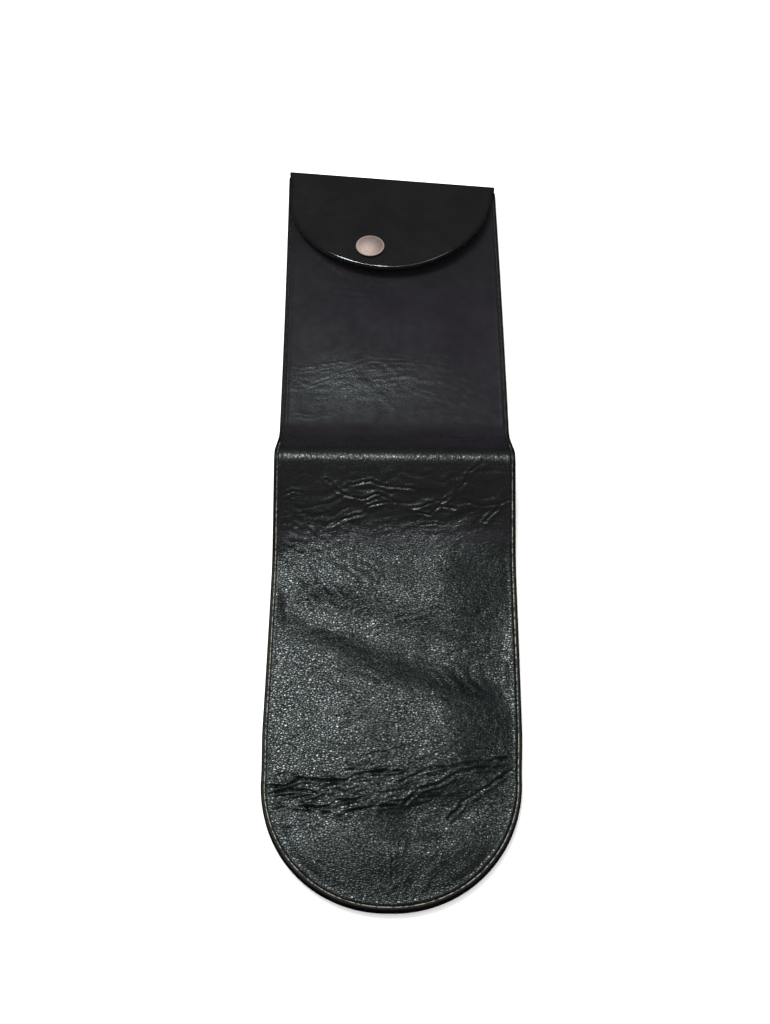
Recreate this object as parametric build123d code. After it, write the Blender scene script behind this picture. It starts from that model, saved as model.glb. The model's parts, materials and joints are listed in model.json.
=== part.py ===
from build123d import *
import os
from math import asin, atan2, cos, degrees, hypot, radians, sin

# Snap-flap carrying case: a flat sleeve of leathercloth, laid on its back with its flap snapped shut.
# It was kept folded in half, so a crease runs across the middle and stands up as a hump.
# Millimetres. The round end points to -Y, the flap end to +Y, and the underside rests on z = 0.
# Y is measured from the round end while the parts are made, and moved to the middle at the end.

# The sleeve
case_width = 94.0
half_width = case_width / 2
rim_width = 2.2  # welded rim all round the sleeve
panel_half = half_width - rim_width
end_centre_y = half_width  # the round end is half a circle

# The hump: where the creases lie, and how high the ridge stands
lower_foot_y = 137.0
ridge_y = 173.0
ridge_rise = 20.3
upper_foot_y = 194.2
crease_gap = 0.3  # clear of each other where two stiff lengths meet at a crease

# Layers, from the underside up
panel_thick = 1.3
lining_thick = 0.3
pocket_gap = 0.8  # space between the linings where the sleeve lies pressed flat
layers = {
    "back_panel": (0, panel_thick),
    "back_lining": (panel_thick, panel_thick + lining_thick),
}
front_lining_z = panel_thick + lining_thick + pocket_gap
front_panel_z = front_lining_z + lining_thick
sleeve_thick = front_panel_z + panel_thick
layers["front_lining"] = (front_lining_z, front_panel_z)
layers["front_panel"] = (front_panel_z, sleeve_thick)

# The front stands up a little over the hollow, with sloping sides all round
crown_rise = 3.9
crown_inset = 5.0  # foot of the slope, from the outside of the case
crown_slope_width = 15.0
lower_crown_top_y = 131.0
upper_crown_y = (200.0, 282.0)

# The flap, hinged on a fold that runs a little askew
fold_skew = 5.23  # degrees, left end further from the round end
fold_y = 333.4  # hinge axis at the middle of the case
fold_outer_r = 3.0
fold_inner_r = fold_outer_r - panel_thick - lining_thick
fold_z = fold_outer_r
mouth_inset = 1.2  # the front stops this far short of the hinge axis
flap_length = 54.4
flap_end_r = 45.5
flap_root_half = 46.6
flap_rim_width = 1.6

# The snap fastener, a 12.7 mm cap
snap_x = -5.5  # off the middle of the flap
snap_reach = 41.8  # from the hinge axis
snap_gap = 3.6  # between the front of the sleeve and the flap, at the snap
cap_r = 6.35
cap_edge_height = 0.5
cap_dome_height = 2.1
cap_post_r = 1.4
cap_post_end_r = 1.9
cap_post_end_thick = 0.25
post_clearance = 0.1
socket_r = 5.3
socket_height = 2.55
socket_roof = 0.9
socket_bore_r = 2.45
socket_groove_r = 2.95
socket_groove_z = 0.85  # middle of the spring's groove, above the socket's mouth
socket_groove_height = 0.6
spring_wire_r = 0.25
spring_r = 2.62
spring_gap_angle = 40
stud_base_r = 5.0
stud_base_thick = 0.45
stud_neck_r = 1.75
stud_neck_height = 0.7
stud_bulb_r = 1.95
stud_bulb_height = 1.05
stud_bulb_foot = 0.2  # sloping part at the foot of the bulb
stud_bulb_nose = 0.4  # sloping part at its top
stud_nose_r = 1.55
eyelet_flange_r = 4.2
eyelet_flange_thick = 0.5
eyelet_tube_r = 1.4
eyelet_bore_r = 0.9

flap_tilt = degrees(atan2(snap_gap - (fold_z + fold_inner_r - sleeve_thick), snap_reach))
fold_frame = Pos(0, fold_y, fold_z) * Rot(0, 0, -fold_skew)
flap_frame = fold_frame * Rot(-flap_tilt, 0, 0)
overall_length = (
    fold_y + flap_root_half * sin(radians(fold_skew)) + fold_outer_r * cos(radians(fold_skew))
)
case_middle = Pos(0, -overall_length / 2, 0)
beyond = 2 * case_width  # longer than any piece is wide
overcut = 1.0  # how far a cutting body sticks out of what it cuts
highest = 10.0  # above every part of the sleeve's two halves

# The underside's line, as (y, z) at each crease, and the four stiff lengths between them
creases = [(lower_foot_y, 0), (ridge_y, ridge_rise), (upper_foot_y, 0)]
far_ends = [(-half_width, 0), (fold_y + half_width, 0)]
line = [far_ends[0], *creases, far_ends[1]]
lengths = ["lower", "lower_slope", "upper_slope", "upper"]


def direction(n):
    """Unit vector (y, z) along stiff length n."""
    (y0, z0), (y1, z1) = line[n], line[n + 1]
    span = hypot(y1 - y0, z1 - z0)
    return (y1 - y0) / span, (z1 - z0) / span


def mitre(corner, depth):
    """Point at a depth above the underside, on the plane that halves the crease at a corner."""
    (ay, az), (by, bz) = direction(corner - 1), direction(corner)
    share = depth / (1 + ay * by + az * bz)
    return line[corner][0] - (az + bz) * share, line[corner][1] + (ay + by) * share


def side_profile(n, low, high):
    """Outline (y, z) of stiff length n between two depths, cut square or on its mitres."""
    ty, tz = direction(n)
    points = []
    for corner, step in ((n, 1), (n + 1, -1)):
        for depth in (low, high) if step == 1 else (high, low):
            if 0 < corner < len(line) - 1:
                y, z = mitre(corner, depth)
                gap = step * crease_gap / 2
                points.append((y + ty * gap, z + tz * gap))
            else:
                points.append((line[corner][0], depth))
    return points


def across(profile, left, right):
    """Solid with a side profile, from x = left to x = right."""
    face = make_face(Polyline(*[(left, y, z) for y, z in profile], close=True))
    return extrude(face, right - left, dir=(1, 0, 0))


def round_end_outline(inset, top_y):
    """Plan of the lower half: straight sides and half a circle, inset from the outside."""
    r = half_width - inset
    end = ThreePointArc((-r, end_centre_y), (0, end_centre_y - r), (r, end_centre_y))
    sides = Polyline((r, end_centre_y), (r, top_y), (-r, top_y), (-r, end_centre_y))
    return make_face(end + sides)


def box_outline(inset, low_y, high_y):
    """Plan of a rectangle across the case, inset from the outside."""
    r = half_width - inset
    return make_face(Polyline((-r, low_y), (r, low_y), (r, high_y), (-r, high_y), close=True))


def prism(outline, low=-overcut, high=highest):
    """Outline stood up between two heights."""
    return extrude(Pos(0, 0, low) * outline, high - low, dir=(0, 0, 1))


def past_fold(offset):
    """Everything beyond the skewed fold line, from an offset before it."""
    return fold_frame * Pos(0, beyond / 2 - offset, 0) * Box(beyond, beyond, beyond)


def crown(foot_outline, top_outline, foot_z):
    """Raised form of the front, standing on a height."""
    top_z = foot_z + crown_rise
    return loft([Pos(0, 0, foot_z) * foot_outline, Pos(0, 0, top_z) * top_outline], ruled=True)


def lower_crown(foot_z):
    """Raised form of the lower half, round like its end."""
    foot = round_end_outline(crown_inset, lower_crown_top_y)
    inner = crown_inset + crown_slope_width
    return crown(foot, round_end_outline(inner, lower_crown_top_y - crown_slope_width), foot_z)


def upper_crown(foot_z):
    """Raised form of the upper half, between the hump and the flap."""
    low_y, high_y = upper_crown_y
    foot = box_outline(crown_inset, low_y, high_y)
    inner = crown_inset + crown_slope_width
    top = box_outline(inner, low_y + crown_slope_width, high_y - crown_slope_width)
    return crown(foot, top, foot_z)


def snap_point():
    """Where the snap's axis crosses the hinge's level on the flap."""
    return (flap_frame * Pos(snap_x, -snap_reach, 0)).position


def cylinder_at(place, radius, low, high):
    """Cylinder between two heights on an axis."""
    upright = (Align.CENTER, Align.CENTER, Align.MIN)
    return place * Pos(0, 0, low) * Cylinder(radius, high - low, align=upright)


def turned(points, place):
    """Solid turned from (radius, height) points."""
    face = make_face(Polyline(*[(r, 0, z) for r, z in points], close=True))
    return place * revolve(face, Axis.Z)


def domed_disc(place, radius, low, edge, top):
    """Disc with an upright edge and a domed face, turned about an axis."""
    dome_r = (radius**2 + (top - edge) ** 2) / (2 * (top - edge))
    half_angle = asin(radius / dome_r) / 2
    half_way = (dome_r * sin(half_angle), 0, top - dome_r * (1 - cos(half_angle)))
    sides = Polyline((0, 0, top), (0, 0, low), (radius, 0, low), (radius, 0, edge))
    dome = ThreePointArc((radius, 0, edge), half_way, (0, 0, top))
    return place * revolve(make_face(sides + dome), Axis.Z)


def sheet_pieces():
    """Panels and linings of the sleeve, one of each in every stiff length."""
    made = {}
    for n, length in enumerate(lengths):
        for layer, (low, high) in layers.items():
            piece = across(side_profile(n, low, high), -panel_half, panel_half)
            in_front = layer.startswith("front")
            if length == "lower":
                piece &= prism(round_end_outline(rim_width, ridge_y))
                if in_front:
                    piece = piece + lower_crown(high) - lower_crown(low)
            if length == "upper":
                piece -= past_fold(mouth_inset if in_front else 0)
                if in_front:
                    piece = piece + upper_crown(high) - upper_crown(low)
                    hole = cylinder_at(snap_axis(), eyelet_tube_r, low - overcut, high + overcut)
                    piece -= hole
            made[f"{length}_{layer}"] = piece
    return made


def rim_pieces():
    """Welded rim: left and right along every stiff length, and round the end."""
    made = {}
    for n, length in enumerate(lengths):
        profile = side_profile(n, 0, sleeve_thick)
        for side, left in (("left", -half_width), ("right", panel_half)):
            piece = across(profile, left, left + rim_width)
            if length == "lower":
                piece &= prism(box_outline(0, end_centre_y, ridge_y))
            if length == "upper":
                piece -= past_fold(0)
            made[f"{length}_{side}_rim"] = piece
    top_y = end_centre_y + overcut
    ring = round_end_outline(0, top_y) - round_end_outline(rim_width, top_y)
    ring &= box_outline(0, 0, end_centre_y)
    made["lower_end_rim"] = prism(ring, 0, sleeve_thick)
    return made


def fold_strip(inner, outer):
    """Half tube of sheet round the hinge axis, from the back up to where the flap starts."""
    sector = make_face(
        Line((inner, 0), (outer, 0))
        + CenterArc((0, 0), outer, 0, 180 - flap_tilt)
        + Line(polar(outer), polar(inner))
        + CenterArc((0, 0), inner, 0, 180 - flap_tilt)
    )
    tube = Plane(origin=(-flap_root_half, 0, 0), x_dir=(0, 0, -1), z_dir=(1, 0, 0)) * sector
    return fold_frame * extrude(tube, 2 * flap_root_half, dir=(1, 0, 0))


def polar(radius):
    """End of the fold strip's arc at a radius."""
    angle = radians(180 - flap_tilt)
    return radius * cos(angle), radius * sin(angle)


def flap_outline(inset):
    """Plan of the flap: nearly straight sides and a round end, inset from its outside."""
    r = flap_end_r - inset
    centre_y = flap_end_r - flap_length
    root = flap_root_half - inset
    end = ThreePointArc((r, centre_y), (0, centre_y - r), (-r, centre_y))
    sides = Polyline((-r, centre_y), (-root, 0), (root, 0), (r, centre_y))
    return make_face(end + sides)


def flap_pieces():
    """Flap, its lining and its rim."""
    inner = flap_outline(flap_rim_width)
    post_r = cap_post_r + post_clearance
    post_hole = cylinder_at(flap_snap_frame(), post_r, -overcut, fold_outer_r + overcut)
    lining_top = fold_inner_r + lining_thick
    panel = flap_frame * prism(inner, lining_top, fold_outer_r) - post_hole
    lining = flap_frame * prism(inner, fold_inner_r, lining_top) - post_hole
    rim = flap_frame * prism(flap_outline(0) - inner, fold_inner_r, fold_outer_r)
    return {"flap_panel": panel, "flap_lining": lining, "flap_rim": rim}


def snap_axis():
    """Upright axis of the stud, at the case's underside."""
    point = snap_point()
    return Pos(point.X, point.Y, 0)


def flap_snap_frame():
    """Axis of the cap and socket, square to the flap, at the level of the hinge axis."""
    return flap_frame * Pos(snap_x, -snap_reach, 0)


def snap_pieces():
    """Cap and post, socket and its spring on the flap; stud and eyelet on the sleeve."""
    on_flap = flap_snap_frame()
    top = fold_outer_r
    cap = domed_disc(on_flap, cap_r, top, top + cap_edge_height, top + cap_dome_height)
    roof_z = fold_inner_r - socket_roof
    cap += cylinder_at(on_flap, cap_post_r, roof_z - cap_post_end_thick, top)
    cap += cylinder_at(on_flap, cap_post_end_r, roof_z - cap_post_end_thick, roof_z)

    mouth_z = fold_inner_r - socket_height
    groove_z = mouth_z + socket_groove_z
    socket = cylinder_at(on_flap, socket_r, mouth_z, fold_inner_r)
    socket -= cylinder_at(on_flap, socket_bore_r, mouth_z - overcut, roof_z)
    post_r = cap_post_r + post_clearance
    socket -= cylinder_at(on_flap, post_r, roof_z - overcut, fold_inner_r + overcut)
    half_groove = socket_groove_height / 2
    socket -= cylinder_at(on_flap, socket_groove_r, groove_z - half_groove, groove_z + half_groove)

    wire = Plane.XZ * Pos(spring_r, 0) * Circle(spring_wire_r)
    spring = revolve(wire, Axis.Z, 360 - spring_gap_angle)

    above = sleeve_thick
    base_top = above + stud_base_thick
    neck_top = base_top + stud_neck_height
    bulb_top = neck_top + stud_bulb_height
    stud_points = [
        (eyelet_tube_r, above),
        (stud_base_r, above),
        (stud_base_r, base_top),
        (stud_neck_r, base_top),
        (stud_neck_r, neck_top),
        (stud_bulb_r, neck_top + stud_bulb_foot),
        (stud_bulb_r, bulb_top - stud_bulb_nose),
        (stud_nose_r, bulb_top),
        (0, bulb_top),
        (0, neck_top),
        (eyelet_tube_r, neck_top),
    ]
    flange_z = front_lining_z - eyelet_flange_thick
    eyelet_points = [
        (eyelet_bore_r, flange_z),
        (eyelet_flange_r, flange_z),
        (eyelet_flange_r, front_lining_z),
        (eyelet_tube_r, front_lining_z),
        (eyelet_tube_r, neck_top),
        (eyelet_bore_r, neck_top),
    ]
    return {
        "snap_cap": cap,
        "snap_socket": socket,
        "snap_socket_spring": on_flap * Pos(0, 0, groove_z) * spring,
        "snap_stud": turned(stud_points, snap_axis()),
        "snap_eyelet": turned(eyelet_points, snap_axis()),
    }


def fold_pieces():
    """Sheet and lining round the fold at the flap's root."""
    seam = fold_inner_r + lining_thick
    return {
        "flap_fold_panel": fold_strip(seam, fold_outer_r),
        "flap_fold_lining": fold_strip(fold_inner_r, seam),
    }


os.makedirs("parts", exist_ok=True)
for maker in (sheet_pieces, rim_pieces, fold_pieces, flap_pieces, snap_pieces):
    for node, shape in maker().items():
        export_step(case_middle * shape, f"parts/{node}.step")
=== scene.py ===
import json
import math

import bmesh
import bpy
import numpy as np
from mathutils import Matrix, Vector

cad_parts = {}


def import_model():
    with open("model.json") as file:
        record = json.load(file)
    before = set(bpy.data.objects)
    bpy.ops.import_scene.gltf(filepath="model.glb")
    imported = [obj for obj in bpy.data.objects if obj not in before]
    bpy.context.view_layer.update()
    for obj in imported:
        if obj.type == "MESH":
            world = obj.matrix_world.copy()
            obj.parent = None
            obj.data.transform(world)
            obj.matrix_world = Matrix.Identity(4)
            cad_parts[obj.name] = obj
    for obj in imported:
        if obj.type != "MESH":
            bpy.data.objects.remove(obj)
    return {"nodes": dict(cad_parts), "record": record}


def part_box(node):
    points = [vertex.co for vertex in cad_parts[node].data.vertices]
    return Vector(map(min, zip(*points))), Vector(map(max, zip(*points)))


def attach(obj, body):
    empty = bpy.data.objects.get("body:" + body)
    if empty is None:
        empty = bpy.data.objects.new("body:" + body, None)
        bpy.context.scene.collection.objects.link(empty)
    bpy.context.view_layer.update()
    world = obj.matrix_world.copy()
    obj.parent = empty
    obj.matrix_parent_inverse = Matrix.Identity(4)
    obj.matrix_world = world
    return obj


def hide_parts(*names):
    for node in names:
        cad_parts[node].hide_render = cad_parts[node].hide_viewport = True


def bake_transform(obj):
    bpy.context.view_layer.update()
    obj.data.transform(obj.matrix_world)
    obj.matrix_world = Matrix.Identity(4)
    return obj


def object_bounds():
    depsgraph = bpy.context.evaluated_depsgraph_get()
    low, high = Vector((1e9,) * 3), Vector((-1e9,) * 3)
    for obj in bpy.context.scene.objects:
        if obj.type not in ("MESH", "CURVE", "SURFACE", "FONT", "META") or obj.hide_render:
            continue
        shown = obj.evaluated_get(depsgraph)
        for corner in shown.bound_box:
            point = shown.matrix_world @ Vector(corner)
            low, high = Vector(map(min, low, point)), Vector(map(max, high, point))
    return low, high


# Snap-flap carrying case. Shapes are worked out in millimetres and made in metres.
# Every sheet is laid out flat first: x across the case, s along it from the round end,
# and a depth above the underside. place() then bends that layout over the hump.

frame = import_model()
cad_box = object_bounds()
MM = 0.001
joints = {j["name"]: j for j in frame["record"]["behaviour"]["joints"]}

# The foot folds' ranges reach this much past flat, in degrees
STOP_MARGIN = 0.01

# Sizes that the CAD gives
HALF_WIDTH = cad_box[1][0] / MM
ROUND_END_Y = cad_box[0][1] / MM
HINGE = [c / MM for c in joints["flap_hinge"]["pos_m"]]
HINGE_AXIS = joints["flap_hinge"]["axis"]
SKEW = math.atan2(HINGE_AXIS[1], -HINGE_AXIS[0])
LOWER_FOOT_Y = joints["lower_foot_fold"]["pos_m"][1] / MM
UPPER_FOOT_Y = joints["upper_foot_fold"]["pos_m"][1] / MM
NEAR_SLOPE = math.radians(joints["lower_foot_fold"]["range_deg"][1] - STOP_MARGIN)
FAR_SLOPE = math.radians(joints["upper_foot_fold"]["range_deg"][1] - STOP_MARGIN)
SLEEVE_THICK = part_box("lower_left_rim")[1][2] / MM
PANEL_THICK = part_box("lower_back_panel")[1][2] / MM
LINING_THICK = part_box("lower_back_lining")[1][2] / MM - PANEL_THICK
FOLD_R = HINGE[2]

# The rim and the sheets beside it. The shoulder and the seam are measured in from the outline.
RIM_WIDTH = 1.7
SHEET_OVERLAP = 0.1
SHEET_HALF = HALF_WIDTH - RIM_WIDTH + SHEET_OVERLAP
SHOULDER = RIM_WIDTH - 0.5
SEAM_IN = 2.6

# Spacing of the meshes: of the cloth, of plain layers, and of the rows near an edge
GRID = 0.68
BACK_GRID = 1.0
LINING_GRID = 1.5
FLAP_LINING_GRID = 1.2
RIDGE_GRID = 0.45
RIM_STEP = 0.4
EDGE_GRID = [0, 0.15, 0.3, 0.5, 0.75, 1.0, 1.3, 1.7, 2.2]

# The front's rows close up near these places along it, where creases run across
CREASED_AT = (41.0, 160.0)
CREASED_REACH = 17.0
CALM_SPACING = 1.15
CREASED_SPACING = 0.50

# How softly each crease turns, as a length along the underside
TURN_LENGTHS = (22.0, 3.8, 16.0)

# How the real case strays from a straight strip with a half-round end
BOW = 1.75
BOW_MIDDLE = 150.0
BOW_REACH = 183.0
END_STRAY = 0.35
SIDE_STRAY = 0.30
SIDE_STRAY_GROWS = 20.0
SIDE_STRAY_FADES = (135.0, 60.0)

# How far the empty front stands up, where it goes under the flap's tip and lies flat, and how
# far it stops short of the flap's hinge
LOWER_CROWN = 3.1
UPPER_CROWN = 0.9
CROWN_RISE = 28.0
FLAP_COVERS_FROM = 282.0
FRONT_SHORT = 1.2

# The flap. The snap is given as (x, distance from the flap's root).
FLAP_TILT = math.radians(4.378)
FLAP_ROOT_HALF = 46.6
FLAP_END_R = 45.5
FLAP_LENGTH = 54.4
FLAP_SIDE = FLAP_LENGTH - FLAP_END_R
FLAP_INSET = 1.0
FLAP_BEAD = 1.7
BEAD_START = 0.8
LOOP = FOLD_R * (math.pi - FLAP_TILT)
SNAP = (-5.5, 42.9)

# The snap's cap
CAP_RADIUS = 6.35
CAP_ROLL = 0.4
DOME_RADIUS = 5.5
DOME_FOOT = 0.86
DOME_RISE = 1.24


def smooth(t):
    """Smooth step from 0 to 1."""
    t = np.clip(t, 0.0, 1.0)
    return t * t * (3 - 2 * t)


def bell(d):
    """1 at 0, falling softly to 0 on both sides."""
    return np.exp(-d * d)


# ---------------------------------------------------------------- the underside's line


def tangent_length(angle, length):
    """Distance from where a turn starts to the corner that it rounds."""
    n = 400
    heading = angle * smooth((np.arange(n) + 0.5) / n)
    step = length / n
    return np.cos(heading).sum() * step - np.sin(heading).sum() * step / math.tan(angle)


def ridge_corner():
    """Where the two slopes' undersides meet, as (y, z)."""
    near, far = math.tan(NEAR_SLOPE), math.tan(FAR_SLOPE)
    y = (near * LOWER_FOOT_Y + far * UPPER_FOOT_Y) / (near + far)
    return y, near * (y - LOWER_FOOT_Y)


def underside():
    """Samples (s, y, z, heading) along the underside, and where each turn starts and ends."""
    ridge_y, ridge_z = ridge_corner()
    spans = [
        LOWER_FOOT_Y - ROUND_END_Y,
        math.hypot(ridge_y - LOWER_FOOT_Y, ridge_z),
        math.hypot(UPPER_FOOT_Y - ridge_y, ridge_z),
    ]
    angles = (NEAR_SLOPE, -(NEAR_SLOPE + FAR_SLOPE), FAR_SLOPE)
    turns, end, last = [], 0.0, 0.0
    for span, angle, length in zip(spans, angles, TURN_LENGTHS):
        tangent = tangent_length(angle, length)
        start = end + span - last - tangent
        turns.append((start, start + length, angle))
        end, last = start + length, tangent
    total = end + HINGE[1] - UPPER_FOOT_Y - last + 20
    step = 0.05
    s = np.arange(0, total, step)
    heading = sum(a * smooth((s + step / 2 - b) / (e - b)) for b, e, a in turns)
    y = ROUND_END_Y + np.concatenate([[0], np.cumsum(np.cos(heading)) * step])[:-1]
    z = np.concatenate([[0], np.cumsum(np.sin(heading)) * step])[:-1]
    exact = sum(a * smooth((s - b) / (e - b)) for b, e, a in turns)
    return (s, y, z, exact), turns


(LINE_S, LINE_Y, LINE_Z, LINE_A), TURNS = underside()
CUTS = [(TURNS[0][1] + TURNS[1][0]) / 2, (TURNS[1][1] + TURNS[2][0]) / 2]
HINGE_S = float(np.interp(HINGE[1], LINE_Y, LINE_S))


def from_end(s):
    """Distance from the round end, seen from above, of a place along the underside."""
    return np.interp(s, LINE_S, LINE_Y) - ROUND_END_Y


def stray(x, s):
    """Moves a place of the flat layout to where the slightly bowed, squarish real case has it."""
    share = np.hypot(x, np.minimum(s - HALF_WIDTH, 0)) / HALF_WIDTH
    angle = np.arctan2(np.maximum(HALF_WIDTH - s, 0), np.abs(x) + 1e-9)
    grown = (END_STRAY + SIDE_STRAY) * smooth((s - HALF_WIDTH) / SIDE_STRAY_GROWS)
    faded = SIDE_STRAY * smooth((s - SIDE_STRAY_FADES[0]) / SIDE_STRAY_FADES[1])
    out = (grown - faded - END_STRAY * np.cos(3 * angle)) * share
    bow = BOW * (1 - ((from_end(s) - BOW_MIDDLE) / BOW_REACH) ** 2)
    return x + np.sign(x) * out * np.cos(angle) + bow, s - out * np.sin(angle)


def place(x, s, depth):
    """Points of the sleeve, in metres."""
    x, s = stray(x, s)
    y = np.interp(s, LINE_S, LINE_Y)
    z = np.interp(s, LINE_S, LINE_Z)
    a = np.interp(s, LINE_S, LINE_A)
    return np.stack([x, y - np.sin(a) * depth, z + np.cos(a) * depth], -1) * MM


def place_flap(x, t, level):
    """Points of the flap, in metres. t is 0 at the flap's root, below 0 round the fold."""
    level = np.broadcast_to(level, np.shape(t)).astype(float)
    round_it = np.clip(1 + t / LOOP, 0, 1) * (math.pi - FLAP_TILT)
    out = np.maximum(t, 0)
    y = level * np.sin(round_it) - out * math.cos(FLAP_TILT)
    z = -level * np.cos(round_it) + out * math.sin(FLAP_TILT)
    cos_skew, sin_skew = math.cos(SKEW), math.sin(SKEW)
    world = [x * cos_skew + y * sin_skew, HINGE[1] - x * sin_skew + y * cos_skew, HINGE[2] + z]
    return np.stack(world, -1) * MM


# ---------------------------------------------------------------- noise and creases


def lattice(ix, iy, seed):
    """A fixed random number from -1 to 1 for each whole-number place."""
    h = (ix * 374761393 + iy * 668265263 + seed * 974634777) & 0xFFFFFFFF
    h = ((h ^ (h >> 13)) * 1274126177) & 0xFFFFFFFF
    return ((h ^ (h >> 16)) & 0xFFFF) / 32767.5 - 1


def noise(x, y, seed):
    """Smooth noise from -1 to 1 with features about one unit across."""
    ix, iy = np.floor(x).astype(np.int64), np.floor(y).astype(np.int64)
    fx, fy = smooth(x - ix), smooth(y - iy)
    low = lattice(ix, iy, seed) * (1 - fx) + lattice(ix + 1, iy, seed) * fx
    high = lattice(ix, iy + 1, seed) * (1 - fx) + lattice(ix + 1, iy + 1, seed) * fx
    return low * (1 - fy) + high * fy


def layered(x, y, seed, layers=3):
    """Noise with finer, weaker noise laid over it."""
    total = sum(noise(x * 2**k, y * 2**k, seed + k) / 2**k for k in range(layers))
    return total / 1.75


def patch(x, y, centre, size, turn=0.0):
    """1 in the middle of an oval patch, falling softly to 0 outside it."""
    a = math.radians(turn)
    dx, dy = x - centre[0], y - centre[1]
    u = (dx * math.cos(a) + dy * math.sin(a)) / size[0]
    v = (-dx * math.sin(a) + dy * math.cos(a)) / size[1]
    return np.exp(-((u * u + v * v) ** 1.5))


def along_line(x, y, points):
    """Distance to a crease's line."""
    best = np.full(x.shape, 1e9)
    for (ax, ay), (bx, by) in zip(points[:-1], points[1:]):
        dx, dy = bx - ax, by - ay
        t = np.clip(((x - ax) * dx + (y - ay) * dy) / (dx * dx + dy * dy), 0, 1)
        best = np.minimum(best, np.hypot(x - ax - t * dx, y - ay - t * dy))
    return best


# Creases as (depth, width, points as (x, distance from the round end)), all in millimetres
CREASES = [
    # the bundle above the round end, on the left
    (0.50, 0.7, [(-45, 46), (-38, 49), (-33, 49)]),
    (0.95, 0.9, [(-45, 44), (-38, 44), (-33, 47), (-28, 46), (-16, 45), (-12, 48), (3, 50)]),
    (0.80, 0.8, [(-45, 41), (-39, 42), (-36, 43), (-32, 42), (-27, 41)]),
    (0.45, 0.6, [(-43, 38), (-39, 40), (-35, 41)]),
    (0.80, 0.8, [(-30, 38), (-26, 39), (-23, 41), (-20, 42), (-16, 41), (-11, 43)]),
    (0.85, 0.8, [(-30, 36), (-22, 36), (-19, 38), (-13, 38), (-8, 40)]),
    (0.65, 0.7, [(-34, 36), (-27, 36), (-23, 34), (-18, 32), (-12, 35), (2, 37)]),
    (0.40, 0.7, [(-40, 28), (-33, 29), (-26, 31)]),
    # running on across to the right
    (0.60, 0.9, [(3, 45), (7, 47), (13, 50), (22, 51), (29, 53), (38, 55), (45, 55)]),
    (0.55, 0.9, [(5, 38), (9, 42), (14, 44), (23, 48), (30, 51), (42, 52)]),
    (0.35, 0.7, [(6, 54), (11, 54), (16, 56)]),
    (0.60, 0.9, [(20, 33), (23, 35), (26, 39), (32, 43), (42, 50)]),
    (0.40, 0.7, [(29, 28), (31, 31), (35, 36)]),
    (0.35, 0.6, [(28, 27), (33, 22)]),
    (0.45, 0.7, [(38, 68), (39, 64), (42, 58), (45, 54)]),
    (0.35, 0.6, [(39, 39), (42, 33)]),
    (0.35, 0.7, [(5, 74), (9, 70), (12, 66), (16, 62)]),
    (0.35, 0.7, [(-44, 60), (-37, 64), (-31, 67)]),
    (0.35, 0.7, [(-10, 55), (0, 57), (10, 60)]),
    # rays into the round end
    (0.45, 0.7, [(0, 23), (1, 17), (1, 9)]),
    (0.30, 0.6, [(-25, 17), (-24, 10)]),
    (0.30, 0.6, [(4, 14), (6, 6)]),
    # across the middle of the lower half
    (0.45, 0.8, [(-15, 104), (-6, 107), (2, 111), (22, 115), (30, 114)]),
    (0.35, 0.7, [(-14, 97), (-6, 104), (0, 109)]),
    (0.35, 0.6, [(17, 142), (20, 138), (23, 134)]),
    # on the near slope
    (0.60, 0.7, [(-27, 166), (-23, 163), (-18, 160), (-14, 159), (-7, 161), (0, 158)]),
    (0.50, 0.7, [(-18, 164), (-9, 165), (-2, 163), (8, 163)]),
    (0.35, 0.6, [(-45, 159), (-39, 162), (-35, 161)]),
    (0.55, 0.7, [(-24, 150), (-16, 153), (-12, 154), (-10, 157), (-2, 158)]),
    (0.35, 0.6, [(6, 156), (13, 158), (20, 159)]),
    (0.45, 0.7, [(9, 155), (14, 154), (18, 157), (24, 156)]),
    (0.35, 0.7, [(16, 156), (26, 164), (29, 168), (34, 172)]),
    (0.50, 0.7, [(35, 152), (41, 158), (46, 160)]),
    (0.35, 0.6, [(10, 150), (15, 151), (18, 151)]),
    (0.35, 0.6, [(-33, 149), (-28, 144), (-23, 136)]),
    # on the upper half
    (0.30, 0.6, [(-45, 229), (-39, 228), (-27, 230), (-18, 231), (-12, 233), (2, 233), (10, 232)]),
    (0.28, 0.6, [(-46, 219), (-40, 219), (-31, 222), (-20, 227), (-14, 229), (2, 229)]),
    (0.20, 0.5, [(-44, 205), (-34, 204), (-25, 206)]),
    (0.25, 0.5, [(-18, 221), (-12, 219), (-7, 216), (0, 209)]),
    (0.15, 0.5, [(-30, 276), (-10, 272), (14, 268)]),
    (0.15, 0.5, [(20, 233), (34, 229), (45, 224)]),
]

# Patches of fine wrinkles as (depth, length, spacing, turn, centre, size)
WRINKLES = [
    (0.50, 8.0, 1.9, 8, (-20, 41), (38, 11)),
    (0.30, 10.0, 2.8, 14, (28, 46), (24, 14)),
    (0.22, 5.0, 3.0, 60, (8, 13), (36, 12)),
    (0.30, 8.0, 2.4, 4, (0, 158), (60, 12)),
    (0.42, 5.0, 2.2, -40, (-27, 134), (24, 19)),
    (0.20, 5.0, 2.6, 30, (20, 138), (26, 16)),
    (0.30, 6.0, 2.2, 10, (-25, 90), (26, 34)),
    (0.26, 6.0, 2.6, -35, (28, 92), (24, 34)),
    (0.20, 8.0, 2.2, 12, (0, 66), (46, 14)),
    (0.16, 7.0, 2.4, 2, (-18, 224), (34, 12)),
    (0.10, 5.0, 2.2, -30, (18, 220), (28, 14)),
    (0.10, 9.0, 2.2, 2, (-5, 270), (34, 10)),
]

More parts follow.
